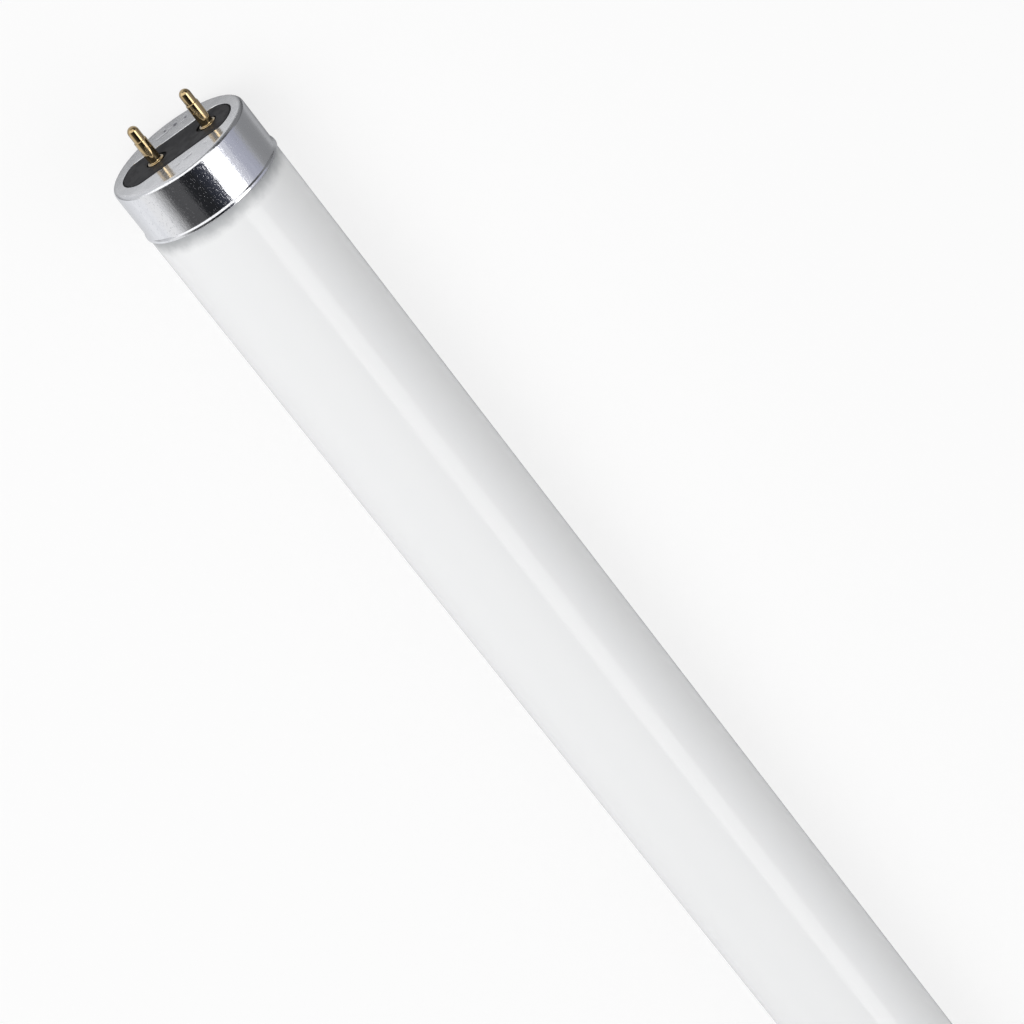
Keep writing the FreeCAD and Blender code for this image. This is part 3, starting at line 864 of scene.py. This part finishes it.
@dataclass
class EndCap:
    """The drawn metal cap, from the rim of its oblong hole over face and wall to the lip and back inside."""

    finish: Finish
    hole: Oblong = Oblong()
    wall: float = 0.35 * MM
    corner: float = 1.0 * MM
    hole_edge: float = 0.2 * MM
    lip_flare: float = 0.325 * MM
    lip_rise: float = 0.75 * MM
    lip_length: float = 0.35 * MM
    lip_round: float = 0.15 * MM
    support: float = 0.05 * MM
    segments: int = 400
    face_rings: int = 44
    wall_rings: int = 8
    dents_in_mm: tuple[Dent, ...] = (
        Dent((-3.7, -10.3), (-1.2, -10.6), 0.70, 0.18),
        Dent((-1.6, -12.6), (-1.6, -11.9), 0.70, 0.24),
        Dent((-0.8, -11.3), (0.3, -11.4), 0.60, 0.16),
        Dent((0.9, -12.3), (0.9, -11.5), 0.90, 0.30),
        Dent((2.4, -10.4), (3.6, -10.5), 0.60, 0.16),
        Dent((3.4, -12.3), (3.5, -11.4), 0.65, 0.24),
        Dent((1.2, 9.9), (2.2, 9.7), 0.70, 0.20),
        Dent((-1.4, 10.1), (-0.9, 10.3), 0.60, 0.14),
        Dent((5.8, 8.9), (6.0, 9.3), 0.55, 0.10),
    )

    def stations(self, radius: float, depth: float) -> list[Station]:
        """Give the stations from the corner along the outside to the lip, and back inside to the face.

        Args:
            radius: Radius of the wall.
            depth: Depth of the whole cap.

        Returns:
            Depths and radii.
        """
        corner, support, soft = self.corner, self.support, self.lip_round
        flat, lip, inside = radius - corner, radius + self.lip_flare, radius - self.wall
        lip_start, lip_end = depth - self.lip_length, depth - soft
        bend_start = lip_start - self.lip_rise
        stations = bend((corner, flat), corner, 180, 90, 10)
        wall_start = corner + support
        wall_step = (bend_start - support - wall_start) / self.wall_rings
        stations += [(wall_start + wall_step * step, radius) for step in range(self.wall_rings + 1)]
        stations += s_bend((bend_start, radius), (lip_start, lip), 6)
        stations += [(lip_start + support, lip), (lip_end - support / 2, lip), (lip_end, lip)]
        stations += bend((lip_end, lip - soft), soft, 90, 0, 4)
        stations += bend((lip_end, lip - self.wall + soft), soft, 0, -90, 4)
        stations += reversed(s_bend((bend_start, radius), (lip_start, lip), 4, self.wall))
        stations += [(corner + support, inside), (corner, inside)]
        inner_corner = corner - self.wall
        stations += bend((corner, flat), inner_corner, 90, 180, 5)
        return stations + [(self.wall, flat - support)]

    def press_dents(self, piece: Piece, face: float) -> None:
        """Press the small dents into the outside of the face.

        Args:
            piece: The cap's mesh.
            face: Place of the face along X.
        """
        for vertex in piece.data.vertices:
            if abs(vertex.co.x - face) < self.support:
                across, up = vertex.co.y / MM, vertex.co.z / MM
                vertex.co.x += max(dent.push(across, up) for dent in self.dents_in_mm) * MM

    def build(self) -> list[Piece]:
        """Model both caps over their solids.

        Returns:
            The near and the far cap.
        """
        low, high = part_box(f"end_cap_{End.NEAR.value}")
        face, depth = low.x, high.x - low.x
        radius = (high.z - low.z) / 2 - self.lip_flare
        run = RingRun(f"cap_shell_{End.NEAR.value}", self.segments, Vector((face, 0, 0)))
        run.start(self.wall, radius)
        run.shape(self.hole.reach)
        edge = self.hole_edge
        run.shaped_ring(edge, self.hole.reach)
        run.shaped_rings(self.hole, bend((edge, edge), edge, -90, -180, 5))
        rim = self.hole.grown(edge + self.support)
        run.shaped_ring(0.0, rim.reach)
        flat = radius - self.corner - self.support
        for ring in range(1, self.face_rings + 1):
            share = ring / self.face_rings
            run.shaped_ring(0.0, lambda angle, s=share: rim.reach(angle) * (1 - s) + flat * s)
        run.radius = flat
        run.ring(0.0, flat + self.support)
        run.rings(self.stations(radius, depth))
        run.shaped_ring(self.wall, self.hole.reach)
        near = run.done()
        close_and_smooth(near)
        self.press_dents(near, face)
        return hand_over_both(near, "cap_shell", self.finish, "end_cap")


@dataclass
class Insulator:
    """The black moulded plate, with a raised middle in the cap's hole and a recess around each pin."""

    finish: Finish
    hole: Oblong = Oblong()
    cap_wall: float = 0.35 * MM
    overlap: float = 1.2 * MM
    clearance: float = 0.25 * MM
    edge: float = 0.28 * MM
    plate_edge: float = 0.15 * MM
    recess_radius: float = 2.41 * MM
    recess_depth: float = 0.3 * MM
    recess_offset: float = 0.25 * MM
    pin_hole: float = 1.42 * MM
    rim_softening: float = 0.05 * MM
    rim_angle: float = math.radians(60)
    support: float = 0.05 * MM
    segments: int = 240

    def build(self) -> list[Piece]:
        """Model both plates over their solids.

        Returns:
            The near and the far plate.
        """
        low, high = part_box(f"insulator_{End.NEAR.value}")
        face, back = low.x, high.x - low.x
        plate, boss = self.hole.grown(self.overlap), self.hole.grown(-self.clearance)
        edge, plate_edge, seat = self.edge, self.plate_edge, self.cap_wall
        run = RingRun(f"insulating_plate_{End.NEAR.value}", self.segments, Vector((face, 0, 0)))
        run.start(back, plate.half_width)
        run.shape(plate.grown(-plate_edge).reach)
        run.shaped_rings(plate, bend((back - plate_edge, -plate_edge), plate_edge, 0, 90, 3))
        run.shaped_rings(plate, bend((seat + plate_edge, -plate_edge), plate_edge, 90, 180, 3))
        run.shaped_rings(boss, [(seat, self.support), (seat, 0.0)])
        run.shaped_rings(boss, bend((edge, -edge), edge, 90, 180, 6))
        run.shaped_rings(boss, [(0.0, -edge - self.support)])
        run.cap_off()
        near = run.done()
        close_and_smooth(near)
        self.make_room_for_pins(near, face, back)
        close_and_smooth(near)
        return hand_over_both(near, "insulating_plate", self.finish, "insulator")

    def make_room_for_pins(self, plate: Piece, face: float, back: float) -> None:
        """Cut each pin's recess and hole, and soften their rims.

        Args:
            plate: The plate's mesh.
            face: Place of its face along X.
            back: How far its back lies behind the face.
        """
        for number, inwards in (("1", 1), ("2", -1)):
            pin_low, pin_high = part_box(f"pin_{End.NEAR.value}{number}")
            middle = (pin_low + pin_high) / 2
            shaft = Vector((face - self.recess_depth, middle.y, middle.z))
            recess = shaft + Vector((0, inwards * self.recess_offset, 0))
            drill(plate, recess, self.recess_depth * 2, self.recess_radius, 96)
            drill(plate, shaft, back + self.recess_depth * 2, self.pin_hole, 64)
        apply_modifier(
            plate, "BEVEL", width=self.rim_softening, segments=2, limit_method="ANGLE",
            angle_limit=self.rim_angle, use_clamp_overlap=True,
        )


@dataclass
class ContactPin:
    """A hollow pin with a round top, a step, a crimp, a collar before the plate and a turned-over end."""

    finish: Finish
    tip_radius: float = 1.23 * MM
    barrel_radius: float = 1.40 * MM
    step_height: float = 5.2 * MM
    step_slope: float = 0.12 * MM
    collar_radius: float = 1.88 * MM
    collar_top: float = 0.05 * MM
    collar_seat: float = 0.3 * MM
    collar_round: float = 0.17 * MM
    plate_back: float = 2.15 * MM
    turned_radius: float = 1.91 * MM
    turned_end: float = 2.55 * MM
    bore_radius: float = 0.90 * MM
    tip_wall: float = 0.9 * MM
    crimp_height: float = 2.7 * MM
    crimp_reach: float = 0.85 * MM
    crimp_depth: float = 0.05 * MM
    crimp_radius: float = 3.2 * MM
    crimp_turn: float = math.radians(60)
    crimp_rings: int = 18
    root: float = 0.22 * MM
    support: float = 0.04 * MM
    segments: int = 96
    crease: float = 50.0

    def stations(self, reach: float) -> list[Station]:
        """Give the stations from the round top down the outside and back up the bore.

        Args:
            reach: Height of the pin above the cap's face.

        Returns:
            Depths and radii, with depths negative in front of the face.
        """
        tip, barrel, root, edge = self.tip_radius, self.barrel_radius, self.root, self.collar_round
        step_top, step_foot = -self.step_height - self.step_slope, -self.step_height
        stations = bend((tip - reach, 0.0), tip, 174, 90, 14)
        stations.append((step_top - self.support * 2, tip))
        stations += s_bend((step_top - self.support, tip), (step_foot + self.support, barrel), 3)
        stations.append((step_foot + self.support * 3, barrel))
        crimp_start = -self.crimp_height - self.crimp_reach
        crimp_step = 2 * self.crimp_reach / self.crimp_rings
        stations += [(crimp_start + crimp_step * step, barrel) for step in range(self.crimp_rings + 1)]
        top, seat, rim = -self.collar_top, self.collar_seat, self.collar_radius - edge
        stations.append((top - root - self.support, barrel))
        stations += bend((top - root, barrel + root), root, -90, 0, 4)
        stations += [(top, rim - self.support), (top, rim)]
        stations += bend((top + edge, rim), edge, 180, 90, 5)
        stations += bend((seat - edge, rim), edge, 90, 0, 5)
        stations += [(seat, rim - self.support), (seat, barrel + self.support), (seat, barrel)]
        stations += [(self.plate_back, barrel), (self.plate_back, self.turned_radius)]
        stations += [(self.turned_end, self.turned_radius), (self.turned_end, self.bore_radius)]
        return stations + [(self.tip_wall - reach, self.bore_radius)]

    def press_crimp(self, piece: Piece, middle: Vector) -> None:
        """Press the crimp's two dents into the barrel.

        Args:
            piece: The pin's mesh.
            middle: The pin's axis where it crosses the cap's face.
        """
        tool_place = self.barrel_radius - self.crimp_depth + self.crimp_radius
        bore_skin = self.bore_radius * 1.1
        for side in (-1, 1):
            push = Vector((0, math.sin(self.crimp_turn) * -side, math.cos(self.crimp_turn) * side))
            for vertex in piece.data.vertices:
                place = vertex.co - middle
                across = place - Vector((place.x, 0, 0))
                along = place.x + self.crimp_height
                if across.length < bore_skin or abs(along) >= self.crimp_radius:
                    continue
                over = across.dot(push) - tool_place + math.sqrt(self.crimp_radius**2 - along**2)
                if over > 0:
                    vertex.co -= push * over

    def build(self) -> list[Piece]:
        """Model the four pins over their solids.

        Returns:
            The pins, near end first.
        """
        low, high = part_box(f"pin_{End.NEAR.value}1")
        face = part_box(f"end_cap_{End.NEAR.value}")[0].x
        middle = Vector((face, (low.y + high.y) / 2, (low.z + high.z) / 2))
        stations = self.stations(face - low.x)
        run = RingRun(f"contact_pin_{End.NEAR.value}1", self.segments, middle)
        run.start(*stations[0])
        run.rings(stations[1:])
        run.cap_off()
        first = run.done()
        close_and_smooth(first, self.crease)
        self.press_crimp(first, middle)
        pins = []
        for end in End:
            for number in ("1", "2"):
                other_low, other_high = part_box(f"pin_{End.NEAR.value}{number}")
                shift = Vector((0, (other_low.y + other_high.y) / 2 - middle.y, 0))
                name = f"contact_pin_{end.value}{number}"
                pin = first if name == first.name else copy_of(first, name, end.turn, shift)
                hand_over(pin, self.finish, f"pin_{end.value}{number}")
                pins.append(pin)
        return pins


@dataclass
class OpalTube:
    """The sealed glass: tube, shoulders, necks, rims, flared stems and exhaust tips in one closed skin."""

    finish: Finish
    neck_step: float = 2.175 * MM
    neck_length: float = 2.6 * MM
    rim_depth: float = 4.2 * MM
    rim_width: float = 1.7 * MM
    rim_round: float = 0.4 * MM
    shoulder_end: float = 13.4 * MM
    stem_radius: float = 5.5 * MM
    stem_depth: float = 26.0 * MM
    exhaust_radius: float = 2.0 * MM
    exhaust_length: float = 13.0 * MM
    support: float = 0.1 * MM
    tube_steps: int = 24
    segments: int = 160
    crease: float = 50.0

    def end_stations(self, radius: float) -> list[Station]:
        """Give the stations of one end, from the tip of the exhaust tube to the full tube.

        Args:
            radius: Outside radius of the tube.

        Returns:
            Depths from the cap's face, and radii.
        """
        rim, soft = self.rim_depth, self.rim_round
        floor = rim + self.stem_depth
        exhaust, stem = self.exhaust_radius, self.stem_radius
        neck = radius - self.neck_step
        mouth = neck - self.rim_width
        flare = mouth - stem
        stations = bend((floor - self.exhaust_length + exhaust, 0.0), exhaust, 170, 90, 8)
        stations += [(floor, exhaust), (floor, stem), (floor - self.support, stem)]
        stations += [(rim + flare + self.support, stem), (rim + flare, stem)]
        stations += bend((rim + flare, mouth), flare, -90, -170, 10)
        stations += [(rim, mouth), (rim, neck - soft - self.support), (rim, neck - soft)]
        stations += bend((rim + soft, neck - soft), soft, 180, 90, 5)
        stations += s_bend((rim + self.neck_length, neck), (self.shoulder_end, radius), 10)
        return stations + [(self.shoulder_end + self.support * 2, radius)]

    def build(self) -> list[Piece]:
        """Model the tube over its solid.

        Returns:
            The tube.
        """
        low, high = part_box("glass_tube")
        radius = (high.z - low.z) / 2
        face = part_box(f"end_cap_{End.NEAR.value}")[0].x
        length = -2 * face
        stations = self.end_stations(radius)
        run = RingRun("opal_tube", self.segments, Vector((face, 0, 0)))
        run.start(*stations[0])
        run.rings(stations[1:])
        start = stations[-1][0]
        tube_step = (length - 2 * start) / self.tube_steps
        run.rings([(start + tube_step * step, radius) for step in range(1, self.tube_steps)])
        run.rings([(length - depth, across) for depth, across in reversed(stations)])
        run.cap_off()
        tube = run.done()
        close_and_smooth(tube, self.crease)
        hand_over(tube, self.finish, "glass_tube")
        return [tube]


@dataclass
class HiddenParts:
    """The cement and the lead-in wires, which keep their own solids and get their finish here."""

    cement: Finish
    wire: Finish

    def build(self) -> list[Piece]:
        """Dress the solids that stay.

        Returns:
            The dressed solids.
        """
        dressed = []
        for name, node in sorted(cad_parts.items()):
            for start, finish, slot in (
                ("cement", self.cement, Slot.CEMENT), ("lead_wire", self.wire, Slot.WIRE),
            ):
                if name.startswith(start):
                    finish.dress(node)
                    dressed.append(node)
        return dressed


# The studio

def glow(card: Piece, tint: Colour, brightness: float | Callable[[Graph], Socket]) -> None:
    """Make a sheet shine, and let only reflections show it.

    Args:
        card: The sheet.
        tint: Colour of its light.
        brightness: Its strength, or what works the strength out in the material's graph.
    """
    material = bpy.data.materials.new(card.name)
    graph = blank_graph(material)
    strength = brightness(graph) if callable(brightness) else brightness
    light = graph.add("Emission", {"Color": opaque(tint), "Strength": strength})
    graph.add("OutputMaterial", {"Surface": light.outputs[0]})
    card.data.materials.append(material)
    for ray in ("camera", "diffuse", "shadow", "transmission", "volume_scatter"):
        setattr(card, f"visible_{ray}", False)


@dataclass(frozen=True)
class Reflector:
    """A card beside the lamp that only gloss shows, between two angles from straight up towards +Y."""

    name: str
    start: float
    finish: float
    brightness: float
    tint: Colour = (1.0, 1.0, 1.0)

    def build(self, distance: float, low: float, high: float) -> None:
        """Put the card up.

        Args:
            distance: How far it stands from the lamp's axis.
            low: Where it starts along the lamp.
            high: Where it ends along the lamp.
        """
        turn = math.radians((self.start + self.finish) / 2)
        width = 2 * distance * math.tan(math.radians((self.finish - self.start) / 2))
        deselect_all()
        bpy.ops.mesh.primitive_plane_add(
            size=1, location=((low + high) / 2, distance * math.sin(turn), distance * math.cos(turn)),
            rotation=(-turn, 0, 0),
        )
        card = bpy.context.object
        card.name = self.name
        card.scale = (high - low, width, 1)
        apply_place()
        glow(card, self.tint, self.brightness)


@dataclass
class Studio:
    """A plain pale floor, soft lamps above it, and the cards that the bright metal shows."""

    floor_height: float
    cap_face: float
    floor_size: float = 12.0
    floor_colour: Colour = (0.92, 0.92, 0.92)
    glow_share: float = 0.76
    card_distance: float = 0.5
    card_half: float = 0.50
    end_start: float = 0.50
    card_end: float = 1.4
    table_lift: float = 0.1 * MM
    table_size: float = 2.8
    # Painted shadow in the mirrored table's light: its level under the lamp, and its level close to the
    # cap's face.
    shadow_under_lamp: float = 0.15
    shadowed_table_at_cap: float = 0.36
    far_table: float = 0.72
    table_rise: float = 12 * MM
    room_light: float = 0.40

    def floor(self) -> None:
        """Lay the floor, which shows nearly white and keeps the lamp's shadow."""
        deselect_all()
        bpy.ops.mesh.primitive_plane_add(size=self.floor_size, location=(0, 0, self.floor_height))
        floor = bpy.context.object
        floor.name = "floor"
        material = bpy.data.materials.new("floor")
        graph = blank_graph(material)
        cloth = graph.add("BsdfDiffuse", {"Color": opaque(self.floor_colour)})
        light = graph.add("Emission", {"Color": (1, 1, 1, 1), "Strength": 1.0})
        path = graph.add("LightPath").outputs
        seen = graph.maths("MAXIMUM", path["Is Camera Ray"], path["Is Glossy Ray"])
        seen = graph.maths("MAXIMUM", seen, path["Is Transmission Ray"])
        share = graph.times(seen, self.glow_share)
        mixed = graph.add("MixShader", {0: share, 1: cloth.outputs[0], 2: light.outputs[0]})
        graph.add("OutputMaterial", {"Surface": mixed.outputs[0]})
        floor.data.materials.append(material)

    def table_light(self, graph: Graph) -> Socket:
        """Give the mirrored table's light: bright left of the lamp, greyer right of it and at its ends, with
        painted shadow under the lamp and close to the caps.

        Args:
            graph: The table's graph.

        Returns:
            The strength of its light.
        """
        place = graph.axes()
        across, along = place["Y"], graph.size(place["X"])
        left = graph.remap(across, -60 * MM, -15 * MM, 0.95, 0.72)
        right = graph.remap(across, 26 * MM, 34 * MM, 0.46, 0.30)
        right = graph.plus(right, graph.remap(across, 34 * MM, 400 * MM, 0.0, 0.12))
        beside = graph.remap(across, -8 * MM, 8 * MM)
        sides = graph.plus(left, graph.times(beside, graph.minus(right, left)))
        # Painted shadow: the table's light drops under the lamp, where its shadow falls.
        sides = graph.times(sides, graph.remap(graph.size(across), 12 * MM, 24 * MM, self.shadow_under_lamp, 1.0))
        # Painted shadow: darkest close to the cap's face, rising to the far level further out.
        past = graph.minus(along, self.cap_face)
        ends = graph.remap(past, 0.0, self.table_rise, self.shadowed_table_at_cap, self.far_table)
        ends = graph.times(ends, graph.remap(across, 13 * MM, 22 * MM, 1.0, 0.34))
        is_end = graph.remap(past, -2 * MM, 0.0)
        return graph.plus(sides, graph.times(is_end, graph.minus(ends, sides)))

    def mirrored_table(self) -> None:
        """Lay a sheet just above the floor that only gloss shows."""
        deselect_all()
        bpy.ops.mesh.primitive_plane_add(
            size=self.table_size, location=(0, 0, self.floor_height + self.table_lift)
        )
        sheet = bpy.context.object
        sheet.name = "mirrored_table"
        apply_place()
        glow(sheet, (0.97, 0.98, 1.0), self.table_light)

    def cards(self) -> None:
        """Put up the cards around the lamp, from its left side over the top to its right side."""
        for name, *card in (
            ("left", -90, -69, 0.92),
            ("left_fade", -69, -62, 0.70),
            ("left_edge", -62, -56, 0.48),
            ("left_corner", -56, -50, 0.26),
            ("grey", -50, -20, 0.090, (0.97, 0.97, 1.0)),
            ("dark", -20, 3, 0.023, (0.86, 0.9, 1.0)),
            ("blue", 3, 13, 0.042, (0.70, 0.76, 1.0)),
            ("blue_rise", 13, 23.5, 0.10, (0.72, 0.77, 1.0)),
            ("bright", 23.5, 50, 3.2),
            ("pale", 50, 64, 0.80, (0.91, 0.92, 1.0)),
            ("right", 64, 80, 0.57, (0.84, 0.86, 1.0)),
            ("right_low", 80, 92, 0.50, (0.84, 0.86, 1.0)),
        ):
            Reflector(f"card_{name}", *card).build(self.card_distance, -self.card_half, self.card_half)
        for side, low, high in (
            ("near", -self.card_end, -self.end_start), ("far", self.end_start, self.card_end),
        ):
            for name, *card in (
                ("left", -90, -20, 1.3),
                ("top", -20, 51, 1.3),
                ("right", 51, 92, 0.10, (0.94, 0.95, 1.0)),
            ):
                Reflector(f"{side}_end_{name}", *card).build(self.card_distance, low, high)

    def lamps(self) -> None:
        """Hang the soft lamps."""
        for name, place, size, power in (
            ("key", (-0.5, -0.6, 1.3), 1.2, 13.0),
            ("fill", (0.5, 0.9, 1.0), 1.4, 5.0),
        ):
            data = bpy.data.lights.new(name, "AREA")
            data.size = size
            data.energy = power
            lamp = bpy.data.objects.new(name, data)
            lamp.location = place
            lamp.rotation_euler = (-Vector(place)).to_track_quat("-Z", "Y").to_euler()
            lamp.visible_glossy = False
            bpy.context.scene.collection.objects.link(lamp)

    def world(self) -> None:
        """Light the room evenly, and show it white to the camera."""
        world = bpy.data.worlds.new("room")
        bpy.context.scene.world = world
        graph = blank_graph(world)
        path = graph.add("LightPath").outputs
        seen = graph.maths("MAXIMUM", path["Is Camera Ray"], path["Is Transmission Ray"])
        strength = graph.remap(seen, 0.0, 1.0, self.room_light, 1.0)
        sky = graph.add("Background", {"Color": (1, 1, 1, 1), "Strength": strength})
        graph.add("OutputWorld", {"Surface": sky.outputs[0]})

    def build(self) -> None:
        """Set the whole studio up."""
        self.floor()
        self.mirrored_table()
        self.cards()
        self.lamps()
        self.world()
        bpy.context.scene.view_settings.view_transform = "Standard"


@dataclass
class PhotoCamera:
    """The camera at the photograph's viewing angle."""

    from_axis: float = math.radians(72.3)
    roll: float = math.radians(7.0)
    slant: float = math.radians(51.95)
    face_in_picture: tuple[float, float] = (176.4, 145.1)
    pixels_per_metre: float = 5040.0
    picture: int = 1024
    lens: float = 130.0
    sensor: float = 36.0

    def build(self, face: float) -> None:
        """Set the camera up: it sees the near cap's face at its place and size in the picture.

        Args:
            face: Place of the near cap's face along X.
        """
        back = Vector((
            -math.cos(self.from_axis),
            math.sin(self.from_axis) * math.sin(self.roll),
            math.sin(self.from_axis) * math.cos(self.roll),
        ))
        along = Vector((1, 0, 0))
        along = (along - back * along.dot(back)).normalized()
        across = back.cross(along)
        right = along * math.cos(self.slant) + across * math.sin(self.slant)
        up = across * math.cos(self.slant) - along * math.sin(self.slant)
        square_on = Matrix((right, up, back)).transposed()
        focal = self.lens / self.sensor * self.picture
        middle = self.picture / 2
        shift = (self.face_in_picture[0] - middle, middle - self.face_in_picture[1])
        place = Vector((*shift, -focal)).normalized()
        turn = square_on @ Vector((0, 0, -1)).rotation_difference(place).to_matrix().transposed()
        distance = focal / self.pixels_per_metre / -place.z
        data = bpy.data.cameras.new("camera")
        data.lens = self.lens
        data.sensor_width = self.sensor
        data.clip_start, data.clip_end = 0.05, 50
        camera = bpy.data.objects.new("camera", data)
        camera.matrix_world = Matrix.Translation(Vector((face, 0, 0)) + back * distance) @ turn.to_4x4()
        bpy.context.scene.collection.objects.link(camera)
        bpy.context.scene.camera = camera


def main() -> None:
    """Build the lamp, the studio and the camera in order."""
    logging.basicConfig(level=logging.INFO, format="%(name)s: %(message)s")
    grain, wear = drawn_grain_group(), edge_wear_group()
    low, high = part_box(f"end_cap_{End.NEAR.value}")
    face = low.x
    parts = (
        EndCap(DrawnAluminium(grain, wear, -face)),
        Insulator(MouldedPhenolic(grain, -face)),
        ContactPin(PlatedBrass(grain, wear)),
        OpalTube(OpalGlass(grain, -high.x)),
        HiddenParts(BasingCement(grain), DrawnWire(grain)),
    )
    for part in parts:
        for piece in part.build():
            LOG.info("%s: %d faces", piece.name, len(piece.data.polygons))
    Studio(CAD_BOX[0].z, -face).build()
    PhotoCamera().build(face)


if __name__ == "__main__":
    main()
